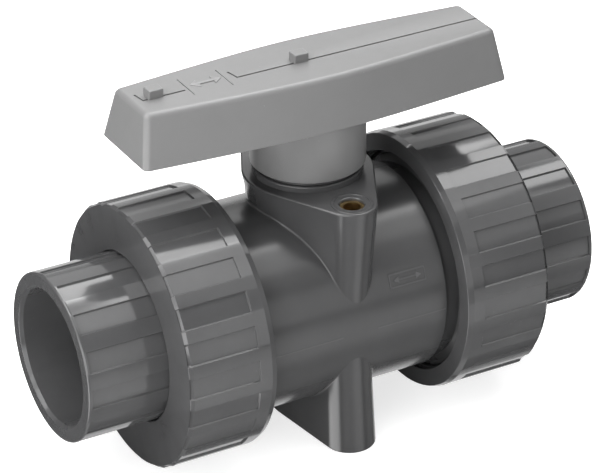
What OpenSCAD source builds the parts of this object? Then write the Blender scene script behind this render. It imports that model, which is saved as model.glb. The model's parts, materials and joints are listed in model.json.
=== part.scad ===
// True-union ball valve with a quarter-turn lever, drawn open: the lever lies along the pipe.
// The pipe runs along X and the stem along +Z. The origin is the middle of the base pad's
// underside. Shapes inside the modules are drawn around the pipe axis and lifted by axis_h.

/* [Pipe] */
// Outside diameter of the pipe that is cemented in
pipe_d = 63; // [50:0.5:66]
// How much wider the socket is than the pipe
socket_play = 0.2; // [0.1:0.05:0.6]
// How deep the pipe goes into a socket
socket_depth = 38; // [30:1:38]
// Outside diameter of a socket
socket_od = 78.4; // [74:0.2:78.4]
// Diameter of the water way through the ball
port_d = 50; // [40:1:50]
// Length of the valve from mouth to mouth
overall_l = 261.2; // [255:0.2:275]

/* [Body] */
// Height of the pipe axis above the base
axis_h = 62; // [62:0.5:66]
// Outside diameter of the barrel
barrel_d = 97.6; // [96:0.2:98]
// Outside diameter of the threads at the barrel's ends
thread_d = 103.2; // [102:0.1:103.2]
// Length of the barrel with its threads
body_l = 144; // [140:1:144]
// Height of the top flange above the pipe axis
flange_h = 61.8; // [60:0.2:62]
// Diameter of the round boss in the middle of the top flange
boss_d = 60; // [56:1:62]
// Diameter of the neck under the lever
neck_d = 47.4; // [46:0.1:47.4]

/* [Fixings] */
// Distance between the two holes in the top flange
flange_pitch = 80; // [78:0.5:80]
// Distance between the two holes in the base
base_pitch = 77.4; // [76:0.2:80]
// Thread diameter of the brass inserts
insert_thread_d = 8; // [6:1:8]
// Outside diameter of the brass inserts
insert_od = 10.9; // [10:0.1:11]
// Length of the brass inserts
insert_l = 12; // [8:1:12]

/* [Union nuts] */
// Diameter over the ribs of a union nut
nut_d = 123; // [118:1:123]
// Length of a union nut
nut_l = 42.9; // [42:0.1:43]
// Distance from the valve's middle to a nut's open end
nut_x = 49.3; // [49:0.1:50]
// Grip pockets around a nut
nut_pockets = 24; // [12:1:30]
// Grip pockets around a socket
socket_pockets = 14; // [8:1:18]
// Depth of the grip pockets
pocket_depth = 0.9; // [0.5:0.1:1.4]

/* [Ball and stem] */
// Diameter of the ball
ball_d = 76; // [74:1:76]
// Diameter of the stem where it turns in the body
stem_d = 21.86; // [21.8:0.02:21.96]
// Width across the stem's square end
square_w = 15; // [13:0.5:15]

/* [Lever] */
// Length of the lever at its lower edge
lever_l = 184; // [160:0.2:186]
// Width of the lever in the middle
lever_w = 54.8; // [53.5:0.1:56]
// Width of the lever at its ends
lever_end_w = 42; // [36:0.1:44]
// Height of the lever's wing
lever_t = 24.2; // [20:0.1:26]
// Height of the lever's lower edge above the pipe axis
lever_z = 92.2; // [91:0.1:94]
// Outside diameter of the lever's collar
collar_d = 52.6; // [52.6:0.1:53.4]
// How far the lever turns
swing = 90; // [80:1:90]

/* [Hidden] */
$fn = 96;
eps = 0.5;                       // how far a cutter reaches past the face it opens
gap = 0.3;                       // between parts that move past each other
fit = 0.1;                       // between parts of one assembly
body_end = body_l / 2;
mouth_x = overall_l / 2;
nut_end = nut_x + nut_l;
nut_r = nut_d / 2;
nut_wall = 9.9;                  // thickness of the nut's end wall
nut_bore_r = thread_d / 2 + 0.4;
nut_edge = 1.4;                  // chamfer on a nut's outer edges
nut_band = 8.8;                  // smooth band at a nut's open end
nut_turn_left = 3.6;             // angle of a pocket's middle above the horizontal, seen from -Y
nut_turn_right = 1.8;
socket_r = socket_od / 2;
socket_bore_r = (pipe_d + socket_play) / 2;
socket_turn_left = 23.1;
socket_turn_right = 32.6;
mouth_chamfer = 1.2;
port_r = port_d / 2;
tail_r = nut_bore_r - 2.5;       // collar of the end connector, clamped by the nut
tail_face = body_end + fit;
tail_end = nut_end - nut_wall - gap;
ball_r = ball_d / 2;
chamber_r = ball_r + 3;
shoulder_x = 27;                 // where the seat pockets open into the ball chamber
seat_in = 24;
seat_out = 34;
seat_r = 36;
cushion_r = 31;                  // middle of the ring behind a seat
cushion_d = 2.8;
face_ring_r = 46;
face_ring_d = 3;
tip_y = 38.4;                    // middle of the rounded tips of the flange and the base pad
tip_r = 11.6;
pad_half_w = 17.2;
neck_top = 74;
stop_top = 78.5;
stop_in_r = 17;
stop_rib_a = 16;                 // angle that the lever's stop rib takes up
stop_play_a = 1;
stem_bore_r = 11;
slot_w = 9.4;                    // slot across the top of the ball
slot_floor = ball_r - 6.7;
disc_r = 14.5;                   // blow-out disc at the foot of the stem
disc_z = ball_r + 0.6;
disc_t = 3.8;
ring_t = 1.5;
stem_roof = disc_z + disc_t + ring_t + fit;
square_z = 76;
square_top = 88.6;
o_ring_d = 2.2;
o_ring_r = 9.7;
o_ring_z = [52, 62];
collar_wall = 2;
collar_z = 67;
web_z = 89;                      // floor of the wing over the collar
web_t = 6;
hub_r = 15;
lever_wall = 3;
lever_top_inset = 3.9;           // how much shorter the wing is at its top, at each end
lever_side_inset = 5.7;          // how much narrower the wing is at its top, on each side
rib_x = [30, 52, 74];
rib_w = 2.4;
lug = [7, 6, 4];                 // tool lugs on top of the lever
lug_x = [-4.5, -76.5];
lug_pitch = lug_x[0] - lug_x[1];

// A profile drawn as [radius, x], turned around the pipe axis.
module around_pipe(profile) rotate([0, 90, 0]) rotate_extrude() polygon(profile);

// A square-cut ring around the pipe axis.
module pipe_ring(r_in, r_out, x_from, x_to)
    around_pipe([[r_in, x_from], [r_out, x_from], [r_out, x_to], [r_in, x_to]]);

module pipe_rod(r, x_from, x_to)
    translate([x_from, 0, 0]) rotate([0, 90, 0]) cylinder(r = r, h = x_to - x_from);

// An O-ring around the pipe axis.
module pipe_o_ring(r, d, x) translate([x, 0, 0]) rotate([0, 90, 0])
    rotate_extrude() translate([r, 0]) circle(d = d, $fn = 32);

// Shallow pockets around the pipe axis; turn is the angle of one pocket's middle, width its arc.
module grip_pockets(count, width, turn, r_in, r_out, x_from, x_to)
    for (k = [0 : count - 1])
        rotate([0, 90, 0]) rotate([0, 0, -90 - turn - k * 360 / count - width / 2])
            rotate_extrude(angle = width)
                polygon([[r_in, x_from], [r_out, x_from], [r_out, x_to], [r_in, x_to]]);

// A block with rounded tips at +Y and -Y, from the pipe axis out to height h.
module mount_block(middle_r, h) linear_extrude(h) hull() {
    circle(r = middle_r, $fn = 64);
    for (side = [-1, 1]) translate([0, side * tip_y]) circle(r = tip_r, $fn = 32);
}

module pair_y(pitch) for (side = [-1, 1]) translate([0, side * pitch / 2, 0]) children();

module body() color("dimgray") translate([0, 0, axis_h]) difference() {
    union() {
        pipe_rod(barrel_d / 2, -body_end + 20, body_end - 20);
        for (side = [0, 1]) mirror([side, 0, 0]) around_pipe([
            [0, body_end - 21], [thread_d / 2, body_end - 21], [thread_d / 2, body_end - 1.5],
            [thread_d / 2 - 1.5, body_end], [0, body_end]]);
        mount_block(boss_d / 2, flange_h);
        mirror([0, 0, 1]) mount_block(pad_half_w, axis_h);
        translate([0, 0, flange_h - 1]) cylinder(d = neck_d, h = neck_top - flange_h + 1);
        stop_ring();
    }
    pipe_rod(port_r, -body_end - eps, 0);
    pipe_rod(chamber_r, -shoulder_x, body_end + eps);
    pipe_rod(seat_r + fit, -seat_out, -shoulder_x + eps);
    pipe_ring(cushion_r - 2.2, cushion_r + 2.2, -seat_out - 3, -seat_out + eps);
    for (side = [0, 1]) mirror([side, 0, 0])
        pipe_ring(face_ring_r - 2, face_ring_r + 2, body_end - face_ring_d, body_end + eps);
    translate([0, 0, ball_r - 8]) cylinder(r = disc_r + 0.5, h = stem_roof - ball_r + 8);
    cylinder(r = stem_bore_r, h = neck_top + eps);
    pair_y(flange_pitch) translate([0, 0, flange_h - insert_l - 2]) {
        cylinder(d = insert_od + fit, h = insert_l + 3);
        translate([0, 0, insert_l + 1.2]) cylinder(d1 = insert_od + fit, d2 = insert_od + 2, h = 0.9);
    }
    pair_y(base_pitch) translate([0, 0, -axis_h - eps]) cylinder(d = insert_od + fit, h = insert_l + 2);
}

// Raised ring on the neck; the gap in it lets the lever's stop rib swing a quarter turn.
module stop_ring() {
    half_gap = (swing + stop_rib_a) / 2 + stop_play_a;
    rotate([0, 0, half_gap]) rotate_extrude(angle = 360 - 2 * half_gap)
        translate([stop_in_r, neck_top - 1])
            square([neck_d / 2 - gap - stop_in_r, stop_top - neck_top + 1]);
}

module insert() difference() {
    cylinder(d = insert_od, h = insert_l);
    translate([0, 0, -eps]) cylinder(d = insert_thread_d, h = insert_l + 2 * eps);
}

module flange_inserts() color("goldenrod")
    translate([0, 0, axis_h + flange_h - insert_l - 1.5]) pair_y(flange_pitch) insert();

module base_inserts() color("goldenrod") translate([0, 0, 0.4]) pair_y(base_pitch) insert();

// Solvent-cement socket with the collar that the union nut clamps, drawn for the +X side.
module end_connector(turn) translate([0, 0, axis_h]) difference() {
    around_pipe([
        [port_r, tail_face], [tail_r - 1, tail_face], [tail_r, tail_face + 1],
        [tail_r, tail_end - 1], [tail_r - 1, tail_end], [socket_r, tail_end],
        [socket_r, mouth_x - 1], [socket_r - 1, mouth_x], [socket_bore_r + mouth_chamfer, mouth_x],
        [socket_bore_r, mouth_x - mouth_chamfer], [socket_bore_r, mouth_x - socket_depth],
        [port_r, mouth_x - socket_depth]]);
    grip_pockets(socket_pockets, 14, turn, socket_r - pocket_depth, socket_r + 1,
                 tail_end + 2, mouth_x - 1.8);
}

module left_end_connector() color("dimgray") mirror([1, 0, 0]) end_connector(socket_turn_left);
module right_end_connector() color("dimgray") end_connector(socket_turn_right);

// Union nut, drawn for the +X side.
module union_nut(turn) translate([0, 0, axis_h]) difference() {
    around_pipe([
        [nut_bore_r, nut_x + 1], [nut_bore_r + 0.5, nut_x], [nut_r - nut_edge, nut_x],
        [nut_r, nut_x + nut_edge], [nut_r, nut_end - nut_edge], [nut_r - nut_edge, nut_end],
        [socket_r + gap, nut_end], [socket_r + gap, nut_end - nut_wall],
        [nut_bore_r, nut_end - nut_wall]]);
    grip_pockets(nut_pockets, 9.2, turn, nut_r - pocket_depth, nut_r + 1,
                 nut_x + nut_band, nut_end + eps);
}

module left_union_nut() color("dimgray") mirror([1, 0, 0]) union_nut(nut_turn_left);
module right_union_nut() color("dimgray") union_nut(nut_turn_right);

module ball() color("gainsboro") translate([0, 0, axis_h]) difference() {
    sphere(r = ball_r);
    pipe_rod(port_r, -ball_r, ball_r);
    translate([-slot_w / 2, -ball_r, slot_floor]) cube([slot_w, ball_d, ball_r]);
}

module seat() translate([0, 0, axis_h]) difference() {
    pipe_ring(port_r + 0.5, seat_r, seat_in, seat_out);
    sphere(r = ball_r + gap);
}

module left_seat() color("white") mirror([1, 0, 0]) seat();
module right_seat() color("white") seat();

module seat_cushion() translate([0, 0, axis_h]) pipe_o_ring(cushion_r, cushion_d, seat_out + 1.5);
module left_seat_cushion() color("black") mirror([1, 0, 0]) seat_cushion();
module right_seat_cushion() color("black") seat_cushion();

// Screwed-in ring that holds the right seat; two tool slots in its outer face take the lever's lugs.
module seal_carrier() color("dimgray") translate([0, 0, axis_h]) difference() {
    pipe_ring(port_r, chamber_r - fit, shoulder_x, body_end - fit);
    pipe_rod(seat_r + fit, shoulder_x - eps, seat_out);
    pipe_ring(cushion_r - 2.2, cushion_r + 2.2, seat_out - eps, seat_out + 3);
    pipe_ring(chamber_r - 2.6, chamber_r + 1, 50, 53.4);
    for (side = [-1, 1]) translate([body_end - 4.5, side * lug_pitch / 2, 0])
        translate([0, -4, -3.3]) cube([6, 8, 6.6]);
}

module seal_carrier_o_ring() color("black")
    translate([0, 0, axis_h]) pipe_o_ring(chamber_r - 1.4, 2.2, 51.7);

module face_o_ring() translate([0, 0, axis_h])
    pipe_o_ring(face_ring_r, face_ring_d - fit, body_end - face_ring_d / 2 + fit / 2);
module left_face_o_ring() color("black") mirror([1, 0, 0]) face_o_ring();
module right_face_o_ring() color("black") face_o_ring();

module stem() color("silver") translate([0, 0, axis_h]) difference() {
    union() {
        translate([-slot_w / 2 + 0.2, -11, slot_floor + gap])
            cube([slot_w - 0.4, 22, disc_z - slot_floor - gap + 1]);
        translate([0, 0, disc_z]) cylinder(r = disc_r, h = disc_t);
        translate([0, 0, disc_z]) cylinder(d = stem_d, h = square_z - disc_z);
        translate([-square_w / 2, -square_w / 2, square_z - 1])
            cube([square_w, square_w, square_top - square_z + 1]);
    }
    for (z = o_ring_z) translate([0, 0, z - 1.5]) difference() {
        cylinder(r = stem_d, h = 3);
        translate([0, 0, -eps]) cylinder(r = o_ring_r - o_ring_d / 2 - fit, h = 4);
    }
}

module stem_slide_ring() color("white") translate([0, 0, axis_h + disc_z + disc_t]) difference() {
    cylinder(r = disc_r, h = ring_t);
    translate([0, 0, -eps]) cylinder(d = stem_d + 2 * fit, h = ring_t + 2 * eps);
}

module stem_o_ring(z) translate([0, 0, axis_h + z])
    rotate_extrude() translate([o_ring_r, 0]) circle(d = o_ring_d, $fn = 32);
module stem_o_ring_lower() color("black") stem_o_ring(o_ring_z[0]);
module stem_o_ring_upper() color("black") stem_o_ring(o_ring_z[1]);

// Six-sided slab of the lever's plan, wide in the middle, shrunk by inset on every side.
module lever_slab(length, width, end_width, inset) linear_extrude(0.01) polygon([
    [length / 2 - inset, end_width / 2 - inset], [0, width / 2 - inset],
    [-length / 2 + inset, end_width / 2 - inset], [-length / 2 + inset, -end_width / 2 + inset],
    [0, -width / 2 + inset], [length / 2 - inset, -end_width / 2 + inset]]);

// The wing's outer shape, or with an inset and a drop its hollow.
module wing(inset, drop) hull() {
    translate([0, 0, lever_z - drop]) lever_slab(lever_l, lever_w, lever_end_w, inset);
    translate([0, 0, lever_z + lever_t - inset - 0.01])
        lever_slab(lever_l - 2 * lever_top_inset, lever_w - 2 * lever_side_inset,
                   lever_end_w - 2 * lever_side_inset, inset);
}

module handle() color("lightgray") translate([0, 0, axis_h]) {
    difference() {
        union() {
            difference() {
                wing(0, 0);
                wing(lever_wall, eps);
            }
            intersection() {
                wing(1, 0);
                lever_ribs();
            }
            translate([0, 0, collar_z]) cylinder(d = collar_d, h = web_z + web_t - collar_z);
        }
        translate([0, 0, collar_z - eps])
            cylinder(r = collar_d / 2 - collar_wall, h = web_z - collar_z + eps);
    }
    hub();
    stop_rib();
    for (x = lug_x) translate([x - lug[0] / 2, -lug[1] / 2, lever_z + lever_t - 0.5])
        cube([lug[0], lug[1], lug[2] + 0.5]);
}

module lever_ribs() {
    translate([-lever_l / 2, -rib_w / 2, lever_z + 4]) cube([lever_l, rib_w, lever_t]);
    for (side = [-1, 1], x = rib_x)
        translate([side * x - rib_w / 2, -lever_w / 2, lever_z + 8]) cube([rib_w, lever_w, lever_t]);
}

module hub() difference() {
    translate([0, 0, square_z + gap]) cylinder(r = hub_r, h = web_z - square_z - gap + 1);
    translate([-square_w / 2 - fit, -square_w / 2 - fit, square_z - eps])
        cube([square_w + 2 * fit, square_w + 2 * fit, square_top - square_z + eps + gap]);
}

// Rib inside the collar that meets the ends of the stop ring at either end of the swing.
module stop_rib() rotate([0, 0, swing / 2 - stop_rib_a / 2])
    rotate_extrude(angle = stop_rib_a)
        translate([stop_in_r + 0.5, neck_top + gap + 0.2])
            square([collar_d / 2 - collar_wall / 2 - stop_in_r - 0.5, web_z - neck_top]);

body();
flange_inserts();
base_inserts();
left_end_connector();
left_union_nut();
right_end_connector();
right_union_nut();
ball();
left_seat();
left_seat_cushion();
right_seat();
right_seat_cushion();
seal_carrier();
seal_carrier_o_ring();
left_face_o_ring();
right_face_o_ring();
stem();
stem_slide_ring();
stem_o_ring_lower();
stem_o_ring_upper();
handle();
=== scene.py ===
# Looks of a true-union ball valve: moulded grey body, union nuts and sockets with real fillets,
# grip pockets and threads, and a matte lever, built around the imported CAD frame.
# Lengths inside the shape functions are millimetres in the row frame; MM turns them into metres.
import json
from math import acos, ceil, cos, degrees, hypot, pi, radians, sin, sqrt, tan

import bmesh
import bpy
from mathutils import Matrix, Vector


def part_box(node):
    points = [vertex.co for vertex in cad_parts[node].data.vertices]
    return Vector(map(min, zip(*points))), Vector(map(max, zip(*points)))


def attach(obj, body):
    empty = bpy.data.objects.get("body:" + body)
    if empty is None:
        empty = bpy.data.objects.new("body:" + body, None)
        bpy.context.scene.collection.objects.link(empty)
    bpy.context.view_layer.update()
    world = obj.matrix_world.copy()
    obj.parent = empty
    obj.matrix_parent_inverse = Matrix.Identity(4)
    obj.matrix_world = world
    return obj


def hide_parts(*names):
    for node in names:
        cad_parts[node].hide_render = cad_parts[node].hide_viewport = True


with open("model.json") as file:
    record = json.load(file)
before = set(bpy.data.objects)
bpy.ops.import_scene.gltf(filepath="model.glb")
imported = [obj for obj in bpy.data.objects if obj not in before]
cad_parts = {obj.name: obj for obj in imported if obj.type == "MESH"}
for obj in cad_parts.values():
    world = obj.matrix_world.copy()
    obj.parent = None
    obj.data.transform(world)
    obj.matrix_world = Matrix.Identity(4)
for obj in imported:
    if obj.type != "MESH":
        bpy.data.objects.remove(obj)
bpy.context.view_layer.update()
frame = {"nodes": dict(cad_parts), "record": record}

MM = 0.001


def box_mm(node):
    low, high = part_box(node)
    return [v / MM for v in low], [v / MM for v in high]


# ---------------------------------------------------------------- sizes read from the frame
seat_low, seat_high = box_mm("right_seat")
AXIS_Z = (seat_low[2] + seat_high[2]) / 2            # height of the pipe axis
nut_low, nut_high = box_mm("right_union_nut")
NUT_R = (nut_high[1] - nut_low[1]) / 2
NUT_IN, NUT_OUT = nut_low[0], nut_high[0]
tail_low, tail_high = box_mm("right_end_connector")
TAIL_IN, MOUTH = tail_low[0], tail_high[0]
TAIL_R = 49.5                                        # clamped collar of an end connector
body_low, body_high = box_mm("body")
BODY_END = body_high[0]
THREAD_R = (body_high[1] - body_low[1]) / 2
NECK_TOP = 74.0
lever_high = box_mm("handle")[1]
LEVER_HALF = lever_high[0]
LEVER_HALF_W = lever_high[1]
LUG_TOP = lever_high[2] - AXIS_Z

# ---------------------------------------------------------------- sizes of the moulded details
BARREL_R = 48.8
PORT_R = 25.0
CHAMBER_R = 41.0
STEM_BORE_R = 11.0
SEAL_IN_R, SEAL_OUT_R, SEAL_DEPTH = 44.0, 48.0, 3.0  # groove of a face O-ring
THREAD_START = 55.2                                  # from the middle of the body
FLANGE_Z = 61.8                                      # top flange above the pipe axis
FLANGE_HOLE_Y = 40.0
BASE_HOLE_Y = 38.7
INSERT_R = 5.5
SOCKET_R = 39.2
SOCKET_BORE_R = 31.6
SOCKET_DEPTH = 38.0
PITCH = 4.0                                          # of the union threads
THREAD_FOOT, THREAD_LAND = 2.4, 1.2                  # widths of a thread ridge, foot and crest
ROOT_R = 50.0                                        # core of the body's thread
NUT_ROOT_R, NUT_CREST_R = 53.6, 52.1                 # of the thread in the nut
RELIEF_R = 46.4                                      # floor of the gap beside each nut
COLLAR_Z = 67.0                                      # lower edge of the lever's collar
COLLAR_R = 26.3
WING_Z = 92.2                                        # lower edge of the lever's wing
WING_TOP = 116.4


# ---------------------------------------------------------------- mesh tools
SHARP_EDGE = 34.0                                    # degrees; flatter edges are shaded smooth
BARREL_STEPS = 256
PEG_STEPS = 96


def rounded(corners, step=15.0):
    """Closed outline from (a, b, radius) corners, each corner with a radius turned into an arc."""
    points = []
    for i, (a, b, radius) in enumerate(corners):
        here = Vector((a, b))
        if radius == 0:
            points.append((a, b))
            continue
        back = (Vector(corners[i - 1][:2]) - here).normalized()
        ahead = (Vector(corners[(i + 1) % len(corners)][:2]) - here).normalized()
        half = back.angle(ahead) / 2
        centre = here + (back + ahead).normalized() * (radius / sin(half))
        start = here + back * (radius / tan(half)) - centre
        turn = pi - 2 * half
        if back.x * ahead.y - back.y * ahead.x > 0:
            turn = -turn
        count = max(2, ceil(degrees(abs(turn)) / step))
        for k in range(count + 1):
            spoke = Matrix.Rotation(turn * k / count, 2) @ start
            points.append((centre.x + spoke.x, centre.y + spoke.y))
    return points


class Shell:
    """Points in millimetres and the faces between them, gathered into one mesh."""

    def __init__(self):
        self.points, self.faces = [], []

    def grid(self, rows, closed=True):
        """Faces between looped rows of points; closed joins the last row to the first."""
        base, across = len(self.points), len(rows[0])
        for row in rows:
            self.points.extend(row)
        for i in range(len(rows) if closed else len(rows) - 1):
            one, two = base + i * across, base + (i + 1) % len(rows) * across
            for j in range(across):
                k = (j + 1) % across
                self.faces.append((one + j, one + k, two + k, two + j))
        if not closed:
            self.faces.append(tuple(range(base, base + across)))
            self.faces.append(tuple(reversed(range(len(self.points) - across, len(self.points)))))

    def mesh(self, name):
        data = bpy.data.meshes.new(name)
        data.from_pydata([tuple(c * MM for c in p) for p in self.points], [], self.faces)
        work = bmesh.new()
        work.from_mesh(data)
        bmesh.ops.recalc_face_normals(work, faces=work.faces)
        work.to_mesh(data)
        work.free()
        return data

    def thing(self, name):
        made = bpy.data.objects.new(name, self.mesh(name))
        bpy.context.scene.collection.objects.link(made)
        return made


def drop(thing):
    data = thing.data
    bpy.data.objects.remove(thing)
    bpy.data.meshes.remove(data)


def combine(target, tool, operation):
    """Exact boolean of one closed mesh with another; the tool is used up."""
    step = target.modifiers.new("combine", "BOOLEAN")
    step.operation, step.solver, step.object = operation, "EXACT", tool
    step.use_self = False
    bpy.context.view_layer.update()
    shape = target.evaluated_get(bpy.context.evaluated_depsgraph_get())
    old, target.data = target.data, bpy.data.meshes.new_from_object(shape)
    target.modifiers.clear()
    bpy.data.meshes.remove(old)
    drop(tool)


def cut(target, tool):
    combine(target, tool, "DIFFERENCE")


def join(name, things):
    """One object from several closed shells."""
    work = bmesh.new()
    for thing in things:
        work.from_mesh(thing.data)
        drop(thing)
    data = bpy.data.meshes.new(name)
    work.to_mesh(data)
    work.free()
    made = bpy.data.objects.new(name, data)
    bpy.context.scene.collection.objects.link(made)
    return made


def finish_piece(piece, body, slot, node):
    """Smooth shading with crisp edges, the material, and what the piece stands for and rides on."""
    work = bmesh.new()
    work.from_mesh(piece.data)
    bmesh.ops.remove_doubles(work, verts=work.verts, dist=1e-7)
    for face in work.faces:
        face.smooth = True
    for edge in work.edges:
        edge.smooth = len(edge.link_faces) == 2 and edge.calc_face_angle(pi) < radians(SHARP_EDGE)
    work.to_mesh(piece.data)
    work.free()
    weighted = piece.modifiers.new("flat faces stay flat", "WEIGHTED_NORMAL")
    weighted.keep_sharp = True
    piece.data.materials.clear()
    piece.data.materials.append(MATERIAL_OF_SLOT[slot])
    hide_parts(node)
    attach(piece, body)


def ring_x(x, r, angles):
    """Loop around the pipe axis; angle 0 is towards -Y and 90 is up."""
    return [(x, -r * cos(radians(a)), AXIS_Z + r * sin(radians(a))) for a in angles]


def turned_x(profile):
    """Shell turned around the pipe axis from a closed (x, r) outline."""
    angles = [360 * k / BARREL_STEPS for k in range(BARREL_STEPS)]
    shell = Shell()
    shell.grid([ring_x(x, r, angles) for x, r in profile])
    return shell


def rings_z(profile, count, at):
    """Loops around a vertical axis, one for each (r, z) point, with z from the pipe axis."""
    return [[(at[0] + r * cos(2 * pi * k / count), at[1] + r * sin(2 * pi * k / count), AXIS_Z + z)
             for k in range(count)] for r, z in profile]


def turned_z(profile, count=128, at=(0, 0)):
    """Shell turned around a vertical axis from a closed (r, z) outline."""
    shell = Shell()
    shell.grid(rings_z(profile, count, at))
    return shell


def peg_z(profile, at=(0, 0)):
    """Solid peg around a vertical axis from open (r, z) steps, flat at both ends."""
    shell = Shell()
    shell.grid(rings_z(profile, PEG_STEPS, at), closed=False)
    return shell


def sector_z(r_in, r_out, z_low, z_high, a_from, a_to, edge=0.4):
    """Closed block between two radii and two angles around the stem."""
    section = rounded([(r_in, z_low, 0), (r_out, z_low, 0),
                       (r_out, z_high, edge), (r_in, z_high, edge)])
    count = max(2, ceil((a_to - a_from) / 5))
    angles = [a_from + (a_to - a_from) * k / count for k in range(count + 1)]
    shell = Shell()
    shell.grid([[(r * cos(radians(a)), r * sin(radians(a)), AXIS_Z + z) for r, z in section]
                for a in angles], closed=False)
    return shell


def block(low, high, edge=0.4):
    """Box with its four long vertical edges and its top edges rounded."""
    half = [(h - l) / 2 for l, h in zip(low, high)]
    middle = [(h + l) / 2 for l, h in zip(low, high)]
    steps = 4
    levels = [(low[2], 0.0)]
    for k in range(steps + 1):
        angle = pi / 2 * (1 - k / steps)
        levels.append((high[2] - edge * (1 - cos(angle)), edge * (1 - sin(angle))))
    rows = []
    for z, inset in levels:
        outline = rounded([(half[0] - inset, half[1] - inset, edge),
                           (-half[0] + inset, half[1] - inset, edge),
                           (-half[0] + inset, -half[1] + inset, edge),
                           (half[0] - inset, -half[1] + inset, edge)])
        rows.append([(middle[0] + x, middle[1] + y, AXIS_Z + z) for x, y in outline])
    shell = Shell()
    shell.grid(rows, closed=False)
    return shell


def smooth_step(t):
    t = min(max(t, 0.0), 1.0)
    return t * t * (3 - 2 * t)


# ---------------------------------------------------------------- gripped rings and threads
RAMP = 6                                             # steps across the wall of a grip pocket


def grip_stations(count, width, turn, blend):
    """(angle, depth 0..1) pairs around a ring of pockets whose walls are blend degrees wide."""
    stations = []
    for k in range(count):
        middle = turn + k * 360 / count
        for i in range(RAMP + 1):
            stations.append((middle - width / 2 + blend * (i / RAMP - 0.5), smooth_step(i / RAMP)))
        for part in (-0.44, 0.0, 0.44):
            stations.append((middle + part * width, 1.0))
        for i in range(RAMP + 1):
            stations.append((middle + width / 2 + blend * (i / RAMP - 0.5),
                             smooth_step(1 - i / RAMP)))
        rib = 360 / count - width
        for part in (0.09, 0.5, 0.91):
            stations.append((middle + width / 2 + part * rib, 0.0))
    return stations


def gripped(profile, stations, depth, side):
    """Shell turned around the pipe axis; profile gives (x, r, share of the pocket depth) points."""
    shell = Shell()
    shell.grid([[(side * x, -(r - depth * share * s) * cos(radians(a)),
                  AXIS_Z + (r - depth * share * s) * sin(radians(a))) for a, s in stations]
                for x, r, share in profile])
    return shell


def pocket_profile(outline, x_from, x_to, r_min, wall):
    """Adds to an (x, r) outline how far the pockets reach: in full between two places along X."""
    walls = [x_from + wall * (i / RAMP - 0.5) for i in range(RAMP + 1)]
    walls += [x_to + wall * (i / RAMP - 0.5) for i in range(RAMP + 1)]
    walls += [x_from - 1.2 * wall, x_from + 1.2 * wall, x_to - 1.2 * wall, x_to + 1.2 * wall]
    dense = []
    for i, (x, r) in enumerate(outline):
        nx, nr = outline[(i + 1) % len(outline)]
        dense.append((x, r))
        if r > r_min and abs(nr - r) < 1e-3:
            between = [w for w in walls if min(x, nx) + 1e-3 < w < max(x, nx) - 1e-3]
            dense += [(w, r) for w in sorted(between, reverse=nx < x)]
    return [(x, r, (smooth_step((x - x_from) / wall + 0.5) * smooth_step((x_to - x) / wall + 0.5)
                    if r > r_min else 0.0)) for x, r in dense]


def thread(r_root, r_crest, x_from, x_to, start):
    """Right-hand ridge wound around the pipe axis, sunk into its wall and run out at both ends."""
    sink = 0.3 if r_root < r_crest else -0.3
    turns = (x_to - x_from) / PITCH
    count = ceil(turns * 96)
    rows = []
    for k in range(count + 1):
        share = k / count
        x = x_from + (x_to - x_from) * share
        rise = smooth_step(min(share, 1 - share) * turns * 6)
        angle = radians(start) - 2 * pi * turns * share
        crest = r_root - sink * 0.6 + (r_crest - r_root + sink * 0.6) * rise
        section = ((x - THREAD_FOOT / 2, r_root - sink), (x - THREAD_FOOT / 2, r_root),
                   (x - THREAD_LAND / 2, crest), (x + THREAD_LAND / 2, crest),
                   (x + THREAD_FOOT / 2, r_root), (x + THREAD_FOOT / 2, r_root - sink))
        rows.append([(px, -r * cos(angle), AXIS_Z + r * sin(angle)) for px, r in section])
    shell = Shell()
    shell.grid(rows, closed=False)
    return shell


def union_nut(side, turn):
    """Union nut with a beaded open end, 24 open grip pockets and an inside thread."""
    outline = rounded([
        (NUT_IN, 52.6, 0.5), (NUT_IN, NUT_R - 0.9, 0.5), (NUT_IN + 2.8, NUT_R, 0.15),
        (NUT_OUT - 1.5, NUT_R, 0.3), (NUT_OUT, NUT_R - 1.2, 0.4), (NUT_OUT, SOCKET_R + 0.3, 0.9),
        (NUT_OUT - 9.9, SOCKET_R + 0.3, 0.3), (NUT_OUT - 9.9, NUT_CREST_R, 0.8),
        (NUT_OUT - 17.5, NUT_CREST_R, 0.8), (NUT_OUT - 19.0, NUT_ROOT_R, 0.6),
        (NUT_IN + 2.6, NUT_ROOT_R, 0.4), (NUT_IN + 1.4, 52.6, 0.4)])
    profile = pocket_profile(outline, NUT_IN + 8.8, NUT_OUT + 9, NUT_R - 1.25, 0.4)
    shell = gripped(profile, grip_stations(24, 9.2, turn, 0.4), 0.8, side)
    ends = sorted((side * (NUT_IN + 3.2), side * (NUT_OUT - 19.8)))
    ridge = thread(NUT_ROOT_R, NUT_CREST_R, *ends, 40)
    return join("nut", [shell.thing("nut_shell"), ridge.thing("nut_thread")])


def end_connector(side, turn):
    """Pipe socket with 14 grip pockets, its stop shoulder, and the collar that the nut clamps."""
    outline = rounded([
        (TAIL_IN, PORT_R, 0.6), (TAIL_IN, TAIL_R, 0.8), (82.0, TAIL_R, 0.8), (82.0, SOCKET_R, 0.6),
        (MOUTH, SOCKET_R, 1.0), (MOUTH, SOCKET_BORE_R + 1.3, 0.35),
        (MOUTH - 1.6, SOCKET_BORE_R, 0.5), (MOUTH - SOCKET_DEPTH, SOCKET_BORE_R, 0.5),
        (MOUTH - SOCKET_DEPTH, PORT_R, 0.8)])
    profile = pocket_profile(outline, 84.5, MOUTH - 1.9, SOCKET_R - 0.05, 0.45)
    shell = gripped(profile, grip_stations(14, 14.0, turn, 0.65), 0.95, side)
    return shell.thing("connector")


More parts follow.
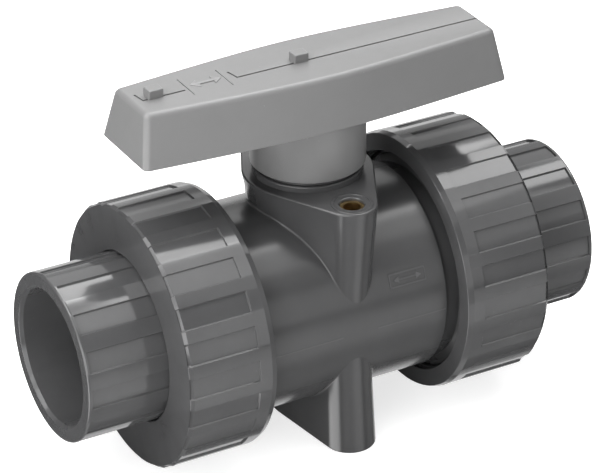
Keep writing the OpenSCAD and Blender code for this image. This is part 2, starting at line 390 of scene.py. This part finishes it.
# ---------------------------------------------------------------- body
def barrel():
    """Barrel with a gap beside each nut, the ball's chamber and the left seat's pocket."""
    corners = [
        (-BODY_END, 49.0, 0.3), (-BODY_END + 1.3, ROOT_R, 0.5), (-54.8, ROOT_R, 0.3),
        (-53.2, RELIEF_R, 0.8), (-46.2, RELIEF_R, 0.8), (-45.2, BARREL_R, 0.7),
        (45.2, BARREL_R, 0.7), (46.2, RELIEF_R, 0.8), (53.2, RELIEF_R, 0.8),
        (54.8, ROOT_R, 0.3), (BODY_END - 1.3, ROOT_R, 0.5), (BODY_END, 49.0, 0.3),
        (BODY_END, SEAL_OUT_R, 0.2), (BODY_END - SEAL_DEPTH, SEAL_OUT_R, 0.2),
        (BODY_END - SEAL_DEPTH, SEAL_IN_R, 0.2), (BODY_END, SEAL_IN_R, 0.2),
        (BODY_END, CHAMBER_R, 0.3),
        (-27.0, CHAMBER_R, 0.5), (-27.0, 36.1, 0.2), (-34.0, 36.1, 0.1), (-34.0, 33.2, 0.1),
        (-37.0, 33.2, 0.1), (-37.0, 28.8, 0.1), (-34.0, 28.8, 0.1), (-34.0, PORT_R, 0.3),
        (-BODY_END, PORT_R, 0.5), (-BODY_END, SEAL_IN_R, 0.2),
        (-BODY_END + SEAL_DEPTH, SEAL_IN_R, 0.2), (-BODY_END + SEAL_DEPTH, SEAL_OUT_R, 0.2),
        (-BODY_END, SEAL_OUT_R, 0.2)]
    made = turned_x(rounded(corners)).thing("barrel")
    stem_way = peg_z([(15.0, 20.0), (15.0, 44.0), (STEM_BORE_R, 44.0), (STEM_BORE_R, 60.0)])
    cut(made, stem_way.thing("stem_way"))
    return made


def block_outline(middle_r, tip_y, tip_r):
    """(x, y, nx, ny) loop round a middle circle and two tip circles, always with as many points."""
    lean = pi / 2 - acos((middle_r - tip_r) / tip_y)
    loop = []

    def arc(cy, r, a_from, a_to, steps):
        for k in range(steps):
            a = a_from + (a_to - a_from) * k / steps
            loop.append((r * cos(a), cy + r * sin(a), cos(a), sin(a)))

    def straight(r_from, y_from, r_to, y_to, a, steps=14):
        for k in range(steps):
            s = k / steps
            r, y = r_from + (r_to - r_from) * s, y_from + (y_to - y_from) * s
            loop.append((r * cos(a), y + r * sin(a), cos(a), sin(a)))

    arc(0, middle_r, -lean, lean, 20)
    straight(middle_r, 0, tip_r, tip_y, lean)
    arc(tip_y, tip_r, lean, pi - lean, 36)
    straight(tip_r, tip_y, middle_r, 0, pi - lean)
    arc(0, middle_r, pi - lean, pi + lean, 20)
    straight(middle_r, 0, tip_r, -tip_y, pi + lean)
    arc(-tip_y, tip_r, pi + lean, 2 * pi - lean, 36)
    straight(tip_r, -tip_y, middle_r, 0, 2 * pi - lean)
    return loop


def mount_block(middle_r, tip_y, tip_r, drafts, height, edge, fillet, up, hole_r):
    """Block with round tips that stands on the barrel and runs into it with a fillet.

    drafts holds three rates towards the barrel: the middle thins, the tips thin, the tips lean in.
    up is 1 above the barrel, where a way for the stem is left open, and -1 below it."""
    def outline(z):
        middle, tip, lean = (rate * (height - z) for rate in drafts)
        return block_outline(middle_r - middle, tip_y - lean, tip_r - tip)

    top = outline(height)
    inner_r = BARREL_R - 3.3
    rows = []
    for k in range(6):
        a = pi / 2 * k / 5
        inset, z = edge * (1 - sin(a)), height - edge * (1 - cos(a))
        rows.append([(x - nx * inset, y - ny * inset, z) for x, y, nx, ny in top])
    feet = []
    for j in range(len(top)):
        z = 20.0                                     # first guess of the fillet's height
        for _ in range(12):
            x, y, nx, ny = outline(z)[j]
            reach = (BARREL_R + fillet) ** 2 - (y + ny * fillet) ** 2
            z = sqrt(max(reach, 1.0))
        feet.append((x, y, nx, ny, z))
    for share in (0.0, 0.5, 0.9):
        row = []
        for (x0, y0, z0), (x, y, nx, ny, z) in zip(rows[5], feet):
            row.append((x0 + (x - x0) * share, y0 + (y - y0) * share,
                        z0 + (z - z0) * share))
        if share > 0:
            rows.append(row)
    for k in range(7):
        row = []
        for x, y, nx, ny, z in feet:
            centre = Vector((x + nx * fillet, y + ny * fillet, z))
            start = Vector((-nx, -ny, 0.0))
            end = Vector((0.0, -centre.y, -centre.z)).normalized()
            spoke = start.slerp(end, k / 6, start) * fillet
            row.append(tuple(centre + spoke))
        rows.append(row)
    landing = rows[-1]
    for radius in (BARREL_R - 0.5, inner_r):
        rows.append([(x, y * radius / hypot(y, z), z * radius / hypot(y, z))
                     for x, y, z in landing])
    rim = rows[-1]
    for share in (0.3, 0.6, 0.85, 1.0):
        row = []
        for x, y, z in rim:
            out = hypot(x, y)
            tx, ty = x / out * hole_r, y / out * hole_r
            px, py = x + (tx - x) * share, y + (ty - y) * share
            row.append((px, py, sqrt(inner_r ** 2 - py ** 2)))
        rows.append(row)
    if up > 0:
        rows.append([(x, y, height) for x, y, z in rows[-1]])
    shell = Shell()
    shell.grid([[(x, y, AXIS_Z + up * z) for x, y, z in row] for row in rows], closed=up > 0)
    return shell


def raised_levels(rise):
    """(radius, inset) of a raised mark: its sunk foot, the barrel's face and its top."""
    return (BARREL_R - 0.4, 0.0), (BARREL_R, 0.0), (BARREL_R + rise, 0.12)


def relief(outline, rise):
    """Raised shape on the barrel's front; outline is (x, height along the curved face)."""
    middle = [sum(c) / len(outline) for c in zip(*outline)]
    rows = []
    for r, inset in raised_levels(rise):
        row = []
        for x, h in outline:
            out = Vector((x - middle[0], h - middle[1]))
            out *= 1 - inset / out.length
            angle = (middle[1] + out.y) / BARREL_R
            row.append((middle[0] + out.x, -r * cos(angle), AXIS_Z + r * sin(angle)))
        rows.append(row)
    shell = Shell()
    shell.grid(rows, closed=False)
    return shell.thing("relief")


def bar(x_from, x_to, h_from, h_to, rise=0.35, steps=4):
    """Raised bar on the barrel, cut into steps so that it follows the curve."""
    ups = [h_from + (h_to - h_from) * k / steps for k in range(steps + 1)]
    outline = [(x_from, h) for h in ups] + [(x_to, h) for h in reversed(ups)]
    rows = []
    for r, inset in raised_levels(rise):
        rows.append([(x + (inset if x == x_from else -inset),
                      -r * cos(h / BARREL_R), AXIS_Z + r * sin(h / BARREL_R)) for x, h in outline])
    shell = Shell()
    shell.grid(rows, closed=False)
    return shell.thing("bar")


def flow_label():
    """Framed two-headed flow arrow on the barrel's front, and the mould's parting line."""
    x_low, x_high, h_low, h_high, line = 16.7, 35.6, 16.8, 23.4, 0.7
    middle, h = (x_low + x_high) / 2, (h_low + h_high) / 2
    parts = [bar(x_low, x_high, h_low, h_low + line),
             bar(x_low, x_high, h_high - line, h_high),
             bar(x_low, x_low + line, h_low, h_high),
             bar(x_high - line, x_high, h_low, h_high),
             bar(middle - 4.6, middle + 4.6, h - 0.35, h + 0.35, 0.3)]
    for side in (-1, 1):
        parts.append(relief([(middle + side * 4.4, h - 1.7), (middle + side * 7.4, h),
                             (middle + side * 4.4, h + 1.7)], 0.3))
        parts.append(bar(*sorted((side * 9.0, side * 44.6)), -0.25, 0.25, 0.07, 2))
    return parts


def screw_well(y, top, depth, up):
    """Cutter for the well of a brass insert, with a softened mouth."""
    steps = [(INSERT_R, top - depth), (INSERT_R, top - 0.9), (INSERT_R + 0.12, top - 0.5),
             (INSERT_R + 0.45, top - 0.15), (INSERT_R + 0.9, top), (INSERT_R + 0.9, top + 2)]
    return peg_z([(r, up * z) for r, z in steps], at=(0, y))


def body_shell():
    """Barrel, top flange, base pad, neck with its stop ring, threads and raised marks."""
    height = AXIS_Z                                  # the base pad stands on the floor
    top = mount_block(30.0, 38.4, 12.3, (0.20, 0.05, 0.037),
                      FLANGE_Z, 0.9, 1.0, 1, 15.2).thing("flange")
    base = mount_block(17.2, 38.9, 12.1, (0.02, 0.02, 0.068),
                       height, 0.9, 0.9, -1, 3.0).thing("base")
    for side in (-1, 1):
        cut(top, screw_well(side * FLANGE_HOLE_Y, FLANGE_Z, 15.0, 1).thing("well"))
        cut(base, screw_well(side * BASE_HOLE_Y, height, 14.0, -1).thing("well"))
    rim = rounded([(7.9, FLANGE_Z - 0.5, 0), (9.7, FLANGE_Z - 0.5, 0),
                   (9.5, FLANGE_Z + 0.35, 0.2), (8.1, FLANGE_Z + 0.35, 0.2)])
    rims = [turned_z(rim, at=(0, side * FLANGE_HOLE_Y)).thing("rim") for side in (-1, 1)]
    neck = turned_z(rounded([
        (STEM_BORE_R, NECK_TOP, 0.4), (STEM_BORE_R, 44.3, 0), (22.0, 44.3, 0), (22.0, 60.5, 0),
        (25.3, 60.5, 0), (25.3, 64.9, 0.9), (23.6, 64.9, 0.3),
        (23.6, NECK_TOP, 0.6)])).thing("neck")
    stops = sector_z(17.0, 23.2, NECK_TOP - 0.5, 78.5, 54, 306).thing("stops")
    threads = [thread(ROOT_R, THREAD_R, *ends, 0).thing("thread")
               for ends in ((-BODY_END + 1.6, -THREAD_START), (THREAD_START, BODY_END - 1.6))]
    return join("valve_body_moulding",
                [barrel(), top, base, neck, stops] + rims + threads + flow_label())


# ---------------------------------------------------------------- lever
TOP_INSET = 3.9
TOP_HALF = LEVER_HALF - TOP_INSET
SIDE_STEPS = 24


def wing_outline(share, inset):
    """Plan of the wing with softly bulging sides; share is 0 at its lower edge, 1 at its top."""
    half = LEVER_HALF - TOP_INSET * share - inset
    end_w = 21.0 - 5.7 * share - inset
    mid_w = LEVER_HALF_W - 5.7 * share - inset
    corner = max(3.2 - inset, 0.6)
    bend = 34.0

    def side_y(x):
        bow = sqrt(x * x + bend * bend) - bend
        full = sqrt(half * half + bend * bend) - bend
        return mid_w - (mid_w - end_w) * bow / full

    def corner_arc(sx, sy, a_from):
        y_edge = side_y(half - corner)
        return [(sx * (half - corner) + corner * cos(a_from + pi / 2 * k / 8),
                 sy * (y_edge - corner) + corner * sin(a_from + pi / 2 * k / 8)) for k in range(9)]

    xs = [(half - corner) * (1 - 2 * k / SIDE_STEPS) for k in range(1, SIDE_STEPS)]
    loop = corner_arc(1, 1, 0) + [(x, side_y(x)) for x in xs] + corner_arc(-1, 1, pi / 2)
    loop += corner_arc(-1, -1, pi) + [(-x, -side_y(x)) for x in xs] + corner_arc(1, -1, 3 * pi / 2)
    return loop


def wing_solid(inset, low, high, edge, foot):
    """Closed drafted slab; edge rounds its top rim, foot its lower rim."""
    def row(z, extra):
        share = (z - WING_Z) / (WING_TOP - WING_Z)
        return [(x, y, AXIS_Z + z) for x, y in wing_outline(share, inset + extra)]

    rows = []
    if foot > 0:
        rows += [row(low + foot * (1 - sin(pi / 2 * k / 4)), foot * (1 - cos(pi / 2 * k / 4)))
                 for k in range(4, 0, -1)]
    rows += [row(low + foot + (high - edge - low - foot) * k / 4, 0) for k in range(5)]
    rows += [row(high - edge + edge * sin(pi / 2 * k / 8), edge * (1 - cos(pi / 2 * k / 8)))
             for k in range(1, 9)]
    shell = Shell()
    shell.grid(rows, closed=False)
    return shell


def groove(points, width=1.0, depth=0.7):
    """Cutter for an engraved line along straight stretches of the lever's top."""
    made = []
    for (x0, y0), (x1, y1) in zip(points, points[1:]):
        along = Vector((x1 - x0, y1 - y0)).normalized()
        across = Vector((-along.y, along.x)) * (width / 2)
        a, b = Vector((x0, y0)) - along * (width / 2), Vector((x1, y1)) + along * (width / 2)
        corners = [a - across, b - across, b + across, a + across]
        shell = Shell()
        shell.grid([[(c.x, c.y, AXIS_Z + z) for c in corners]
                    for z in (WING_TOP - depth, WING_TOP + 2)], closed=False)
        made.append(shell.thing("line"))
    return made


LINE_Y = -2.0
EMBLEM_X = -50.5                                     # middle of the plain emblem


def lever_lines():
    """Engraved centre line in two stretches with short ticks, and two bars beside the emblem."""
    lines = groove([(TOP_HALF - 0.4, LINE_Y), (-36.4, LINE_Y), (-37.6, LINE_Y + 6.2)])
    lines += groove([(-62.5, LINE_Y), (-82.6, LINE_Y), (-83.4, LINE_Y + 6.2)])
    for x in (-10.0, 9.0):
        lines += groove([(EMBLEM_X + x, -7.5), (EMBLEM_X + x, 8.5)], 0.6, 0.35)
    return lines


def emblem():
    """A plain two-headed flow arrow, raised a little from the lever's top."""
    outline = [(-7.5, 0), (-3.6, 3.4), (-3.6, 1.2), (3.6, 1.2), (3.6, 3.4), (7.5, 0), (3.6, -3.4),
               (3.6, -1.2), (-3.6, -1.2), (-3.6, -3.4)]
    levels = (WING_TOP - 0.4, 1.0), (WING_TOP + 0.2, 1.0), (WING_TOP + 0.35, 0.96)
    shell = Shell()
    shell.grid([[(EMBLEM_X + x * s, 1.0 + y * s, AXIS_Z + z) for x, y in outline]
                for z, s in levels], closed=False)
    return shell.thing("arrow")


def lug(x):
    """Small tool lug on the lever's top."""
    return block((x - 3.5, -3.0, WING_TOP - 0.6), (x + 3.5, 3.0, LUG_TOP), 0.5).thing("lug")


def lever():
    """Hollow wing with ribs, the collar with its hub and stop rib, and the lugs on top."""
    wing = wing_solid(0, WING_Z, WING_TOP, 2.3, 0.6).thing("wing")
    cut(wing, wing_solid(3.0, WING_Z - 1, WING_TOP - 3.0, 1.5, 0).thing("hollow"))
    for line in lever_lines():
        cut(wing, line)
    collar = turned_z(rounded([
        (24.2, COLLAR_Z, 0.3), (COLLAR_R, COLLAR_Z, 0.5), (COLLAR_R, 95.0, 0.5), (8.0, 95.0, 0),
        (8.0, 90.4, 0), (24.2, 90.4, 0.8)]), count=192).thing("collar")
    web = peg_z([(9.0, 90.4), (9.0, 94.9)]).thing("web")
    hub = peg_z([(15.0, 76.4), (15.0, 92.0)]).thing("hub")
    square = block((-7.6, -7.6, 70.0), (7.6, 7.6, 90.3), 0.3).thing("square")
    cut(hub, square)
    stop = sector_z(17.5, 25.0, NECK_TOP + 0.5, 91.0, 37, 53, 0.3).thing("stop")
    ribs = [block((-TOP_HALF + 2, -1.2, 97), (TOP_HALF - 2, 1.2, WING_TOP - 2), 0.3).thing("rib")]
    for x in (30, 52, 74):
        for side in (-1, 1):
            half = 22.0 - 0.085 * x
            ribs.append(block((side * x - 1.2, -half + 3, 101),
                              (side * x + 1.2, half - 3, WING_TOP - 2), 0.3).thing("rib"))
    return join("lever_moulding",
                [wing, collar, web, hub, stop, lug(-4.5), lug(-76.5)] + ribs + [emblem()])


# ---------------------------------------------------------------- materials
def nodes_of(name):
    """A new material with its nodes, its links and its shader."""
    material = bpy.data.materials.new(name)
    material.use_nodes = True
    tree = material.node_tree
    return material, tree.nodes, tree.links, tree.nodes["Principled BSDF"]


def noise(nodes, links, place, scale, detail=4.0, rough=0.55):
    made = nodes.new("ShaderNodeTexNoise")
    made.inputs["Scale"].default_value = scale
    made.inputs["Detail"].default_value = detail
    made.inputs["Roughness"].default_value = rough
    links.new(place, made.inputs["Vector"])
    return made.outputs["Fac"]


def ramp(nodes, links, value, stops):
    """Colour ramp through (position, colour) stops."""
    made = nodes.new("ShaderNodeValToRGB")
    for element, (position, colour) in zip(made.color_ramp.elements, (stops[0], stops[-1])):
        element.position, element.color = position, (*colour, 1)
    for position, colour in stops[1:-1]:
        made.color_ramp.elements.new(position).color = (*colour, 1)
    links.new(value, made.inputs["Fac"])
    return made.outputs["Color"]


def span(nodes, links, value, low, high):
    """A value from 0 to 1, spread from low to high."""
    made = nodes.new("ShaderNodeMapRange")
    made.inputs["To Min"].default_value, made.inputs["To Max"].default_value = low, high
    links.new(value, made.inputs["Value"])
    return made.outputs["Result"]


def bump(nodes, links, height, strength, distance, under=None):
    made = nodes.new("ShaderNodeBump")
    made.inputs["Strength"].default_value = strength
    made.inputs["Distance"].default_value = distance
    links.new(height, made.inputs["Height"])
    if under is not None:
        links.new(under, made.inputs["Normal"])
    return made.outputs["Normal"]


def mix(nodes, links, share, one, two):
    """Colour socket one blended into the fixed colour two."""
    made = nodes.new("ShaderNodeMix")
    made.data_type = "RGBA"
    links.new(share, made.inputs["Factor"])
    links.new(one, made.inputs["A"])
    made.inputs["B"].default_value = (*two, 1)
    return made.outputs["Result"]


def moulded(name, grey, rough, grain, edge_wear_and_highlight, cloud_range=0.12, tint=(1.0, 1.0, 1.02)):
    """Moulded plastic: cloudy colour, fine grain, soft waviness, and paler edges that are part
    wear, part painted highlight.
    """
    material, nodes, links, shader = nodes_of(name)
    place = nodes.new("ShaderNodeTexCoord").outputs["Object"]
    dark = tuple(grey * (1 - cloud_range) * t for t in tint)
    light = tuple(grey * (1 + cloud_range) * t for t in tint)
    cloud = noise(nodes, links, place, 38.0, 6.0, 0.62)
    colour = ramp(nodes, links, cloud, [(0.32, dark), (0.68, light)])
    speck = ramp(nodes, links, noise(nodes, links, place, 900.0, 2.0, 0.5),
                 [(0.30, (0, 0, 0)), (0.74, (0, 0, 0)), (0.80, (1, 1, 1))])
    colour = mix(nodes, links, speck, colour, tuple(min(grey * 1.4 * t, 0.9) for t in tint))
    # Convex edges lightened by pointiness: partly wear, partly a painted highlight along the rims
    # and fillets.
    edge = ramp(nodes, links, nodes.new("ShaderNodeNewGeometry").outputs["Pointiness"],
                [(0.52, (0, 0, 0)), (0.62, (edge_wear_and_highlight, edge_wear_and_highlight, edge_wear_and_highlight))])
    colour = mix(nodes, links, edge, colour, tuple(min(grey * 2.2 * t, 0.9) for t in tint))
    links.new(colour, shader.inputs["Base Color"])
    patchy = noise(nodes, links, place, 120.0, 5.0, 0.6)
    links.new(span(nodes, links, patchy, rough * 0.8, rough * 1.25), shader.inputs["Roughness"])
    shader.inputs["IOR"].default_value = 1.52
    wavy = bump(nodes, links, noise(nodes, links, place, 60.0, 1.0, 0.4), 0.04, 0.0005)
    fine = bump(nodes, links, noise(nodes, links, place, grain, 3.0, 0.6), 0.10, 0.00004, wavy)
    links.new(fine, shader.inputs["Normal"])
    return material


def rubber(name):
    material, nodes, links, shader = nodes_of(name)
    place = nodes.new("ShaderNodeTexCoord").outputs["Object"]
    links.new(ramp(nodes, links, noise(nodes, links, place, 260.0),
                   [(0.3, (0.012,) * 3), (0.7, (0.03,) * 3)]), shader.inputs["Base Color"])
    links.new(span(nodes, links, noise(nodes, links, place, 500.0), 0.5, 0.75),
              shader.inputs["Roughness"])
    links.new(bump(nodes, links, noise(nodes, links, place, 1500.0), 0.3, 0.00005),
              shader.inputs["Normal"])
    return material


def waxy(name):
    material, nodes, links, shader = nodes_of(name)
    place = nodes.new("ShaderNodeTexCoord").outputs["Object"]
    links.new(ramp(nodes, links, noise(nodes, links, place, 90.0),
                   [(0.3, (0.80, 0.80, 0.78)), (0.7, (0.88, 0.88, 0.86))]),
              shader.inputs["Base Color"])
    links.new(span(nodes, links, noise(nodes, links, place, 300.0), 0.38, 0.5),
              shader.inputs["Roughness"])
    links.new(bump(nodes, links, noise(nodes, links, place, 700.0), 0.15, 0.00005),
              shader.inputs["Normal"])
    shader.inputs["Subsurface Weight"].default_value = 0.1
    shader.inputs["Subsurface Radius"].default_value = (0.002, 0.002, 0.002)
    return material


def turned_metal(name, dark, light, rough):
    """Turned metal with fine rings around the vertical axis of each insert."""
    material, nodes, links, shader = nodes_of(name)
    place = nodes.new("ShaderNodeTexCoord").outputs["Object"]
    links.new(ramp(nodes, links, noise(nodes, links, place, 300.0, 5.0),
                   [(0.3, dark), (0.7, light)]), shader.inputs["Base Color"])
    links.new(span(nodes, links, noise(nodes, links, place, 800.0), rough - 0.06, rough + 0.1),
              shader.inputs["Roughness"])
    rings = nodes.new("ShaderNodeTexWave")
    rings.bands_direction = "Z"
    rings.inputs["Scale"].default_value = 1400.0
    rings.inputs["Distortion"].default_value = 0.4
    links.new(place, rings.inputs["Vector"])
    links.new(bump(nodes, links, rings.outputs["Fac"], 0.25, 0.00006), shader.inputs["Normal"])
    shader.inputs["Metallic"].default_value = 1.0
    return material


# moulded: name, grey, roughness, grain scale, edge paleness (wear and painted highlight), range of
# the cloudy colour, tint
MATERIAL_OF_SLOT = {
    "body_plastic": moulded("body_plastic", 0.052, 0.23, 1600.0, 0.35, 0.06),
    "nut_plastic": moulded("nut_plastic", 0.064, 0.11, 1500.0, 0.22, 0.08),
    "connector_plastic": moulded("connector_plastic", 0.064, 0.11, 1500.0, 0.22, 0.08),
    "lever_plastic": moulded("lever_plastic", 0.152, 0.37, 2200.0, 0.30, 0.03, (1.0, 1.0, 1.0)),
    "ball_plastic": moulded("ball_plastic", 0.11, 0.16, 1800.0, 0.1),
    "stem_plastic": moulded("stem_plastic", 0.09, 0.24, 1800.0, 0.3),
    "seal_rubber": rubber("seal_rubber"),
    "ptfe": waxy("ptfe"),
    "brass": turned_metal("brass", (0.36, 0.25, 0.11), (0.60, 0.44, 0.22), 0.30)}


# ---------------------------------------------------------------- pieces
finish_piece(body_shell(), "valve_body", "body_plastic", "body")
for side, hand, nut_turn, socket_turn in ((-1, "left", 3.6, 23.1), (1, "right", 1.8, 32.6)):
    nut = union_nut(side, nut_turn)
    nut.name = hand + "_nut_moulding"
    finish_piece(nut, hand + "_nut", "nut_plastic", hand + "_union_nut")
    connector = end_connector(side, socket_turn)
    connector.name = hand + "_connector_moulding"
    finish_piece(connector, hand + "_connector", "connector_plastic", hand + "_end_connector")
finish_piece(lever(), "lever", "lever_plastic", "handle")

REPLACED = {"body", "left_union_nut", "right_union_nut",
            "left_end_connector", "right_end_connector", "handle"}
for part in frame["record"]["subparts"]:
    if part["node"] not in REPLACED:
        node = frame["nodes"][part["node"]]
        node.data.materials.clear()
        node.data.materials.append(MATERIAL_OF_SLOT[part["material_slot"]])


# ---------------------------------------------------------------- camera, floor and light
CAMERA_AZ = radians(29.188)                          # from the -Y side towards -X
CAMERA_EL = radians(29.045)
CAMERA_ROLL = radians(-0.091)
CAMERA_AT = Vector((-0.6557, -1.1667, 0.7691 + AXIS_Z * MM))
CAMERA_LENS = 201.67

back = Vector((-sin(CAMERA_AZ) * cos(CAMERA_EL), -cos(CAMERA_AZ) * cos(CAMERA_EL), sin(CAMERA_EL)))
level = Vector((0, 0, 1)).cross(back).normalized()
upward = back.cross(level)
right = level * cos(CAMERA_ROLL) + upward * sin(CAMERA_ROLL)
above = upward * cos(CAMERA_ROLL) - level * sin(CAMERA_ROLL)
camera_data = bpy.data.cameras.new("camera")
camera_data.lens = CAMERA_LENS
camera_data.sensor_width = 36.0
camera_data.clip_end = 50.0
camera = bpy.data.objects.new("camera", camera_data)
turn = Matrix((right, above, back)).transposed().to_4x4()
camera.matrix_world = Matrix.Translation(CAMERA_AT) @ turn
bpy.context.scene.collection.objects.link(camera)
bpy.context.scene.camera = camera


def seen_as(nodes, by_light, by_eye):
    """One value for the studio's own brightness as it lights the valve, another as it is seen."""
    path = nodes.new("ShaderNodeLightPath")
    made = nodes.new("ShaderNodeMapRange")
    made.inputs["To Min"].default_value, made.inputs["To Max"].default_value = by_light, by_eye
    nodes.id_data.links.new(path.outputs["Is Camera Ray"], made.inputs["Value"])
    return made.outputs["Result"]


def floor_material():
    material, nodes, links, shader = nodes_of("studio_floor")
    place = nodes.new("ShaderNodeTexCoord").outputs["Object"]
    links.new(ramp(nodes, links, noise(nodes, links, place, 3.0),
                   [(0.3, (0.86,) * 3), (0.7, (0.90,) * 3)]), shader.inputs["Base Color"])
    shader.inputs["Roughness"].default_value = 0.8
    shader.inputs["Emission Color"].default_value = (1, 1, 1, 1)
    links.new(seen_as(nodes, 0.22, 0.7), shader.inputs["Emission Strength"])
    return material


def floor():
    """Wide floor at z = 0, left out of reflections so that the low cards show in the gloss."""
    sheet = Shell()
    half = 6000.0
    sheet.points = [(-half, -half, 0), (half, -half, 0), (half, half, 0), (-half, half, 0)]
    sheet.faces = [(0, 1, 2, 3)]
    made = sheet.thing("studio_floor")
    made.data.materials.append(floor_material())
    made.visible_glossy = False


def towards(azimuth, elevation):
    """Unit direction; azimuth 0 is on the -Y side, negative towards -X."""
    a, e = radians(azimuth), radians(elevation)
    return Vector((sin(a) * cos(e), -cos(a) * cos(e), sin(e)))


def softbox(name, azimuth, elevation, distance, spread, radiance):
    """Square soft light that faces the valve; spread is its width over its distance."""
    away, width = towards(azimuth, elevation), spread * distance
    data = bpy.data.lights.new(name, "AREA")
    data.shape, data.size, data.energy = "SQUARE", width, radiance * pi * width * width
    lamp = bpy.data.objects.new(name, data)
    lamp.visible_camera = False
    lamp.location = away * distance + Vector((0, 0, 0.08))
    lamp.rotation_euler = away.to_track_quat("Z", "Y").to_euler()
    bpy.context.scene.collection.objects.link(lamp)


def low_cards(cards):
    """Pale backdrop, and soft white cards below the horizon that only gloss picks up."""
    world = bpy.data.worlds.new("studio")
    bpy.context.scene.world = world
    world.use_nodes = True
    nodes, links = world.node_tree.nodes, world.node_tree.links
    seen = nodes.new("ShaderNodeTexCoord").outputs["Generated"]
    total = seen_as(nodes, 0.0, 0.85)
    for azimuth, elevation, spread, radiance in cards:
        facing = nodes.new("ShaderNodeVectorMath")
        facing.operation = "DOT_PRODUCT"
        links.new(seen, facing.inputs[0])
        facing.inputs[1].default_value = towards(azimuth, elevation)
        card = nodes.new("ShaderNodeMapRange")
        card.interpolation_type = "SMOOTHSTEP"
        links.new(facing.outputs["Value"], card.inputs["Value"])
        card.inputs["From Min"].default_value = cos(radians(spread + CARD_BLUR))
        card.inputs["From Max"].default_value = cos(radians(spread - CARD_BLUR))
        card.inputs["To Max"].default_value = radiance
        both = nodes.new("ShaderNodeMath")
        links.new(total, both.inputs[0])
        links.new(card.outputs["Result"], both.inputs[1])
        total = both.outputs[0]
    links.new(total, nodes["Background"].inputs["Color"])


CARD_BLUR = 6                                        # degrees on each side of a card's edge
# azimuth, elevation, half spread in degrees, radiance
LOW_CARDS = (
    (-95, -25, 24, 5.0), (-28, -27, 22, 0.6), (17, -27, 18, 1.2), (75, -27, 17, 0.4),
    (0, -90, 14, 0.5), (30, -62, 24, 0.3), (151, -29, 36, 1.0))
# name, azimuth, elevation, distance in metres, width over distance, radiance
SOFTBOXES = (
    ("key_low", -45, 12, 0.7, 0.50, 4.8),
    ("key_low_side", -75, 12, 0.8, 0.50, 2.5),
    ("fill_low_left", -15, 12, 1.5, 0.50, 0.9),
    ("fill_low_right", 15, 12, 1.5, 0.50, 1.2),
    ("fill_low_far", 45, 12, 1.5, 0.50, 0.35),
    ("fill_low_edge", 75, 12, 1.5, 0.50, 0.3),
    ("rim_low", 150, 12, 1.5, 0.50, 0.5),
    ("key_side", -75, 38, 0.8, 0.47, 2.4),
    ("rim_side", -105, 38, 0.8, 0.47, 3.7),
    ("rim_back_left", -135, 38, 1.5, 0.47, 0.5),
    ("fill_right", 45, 38, 1.5, 0.47, 0.9),
    ("rim_right", 105, 38, 1.5, 0.47, 2.0),
    ("rim_back", 135, 38, 1.5, 0.47, 1.1),
    ("rim_back_far", 165, 38, 1.5, 0.47, 1.3),
    ("top_left", -90, 63, 0.6, 0.53, 7.5),
    ("top_front_left", -30, 63, 1.5, 0.53, 0.8),
    ("top_front_right", 50, 62, 1.5, 0.45, 2.4),
    ("top_right", 100, 62, 1.5, 0.40, 6.5),
    ("top_back", 150, 63, 1.5, 0.53, 6.4))

floor()
low_cards(LOW_CARDS)
for row in SOFTBOXES:
    softbox(*row)
bpy.context.scene.view_settings.view_transform = "Standard"
bpy.context.scene.view_settings.look = "None"
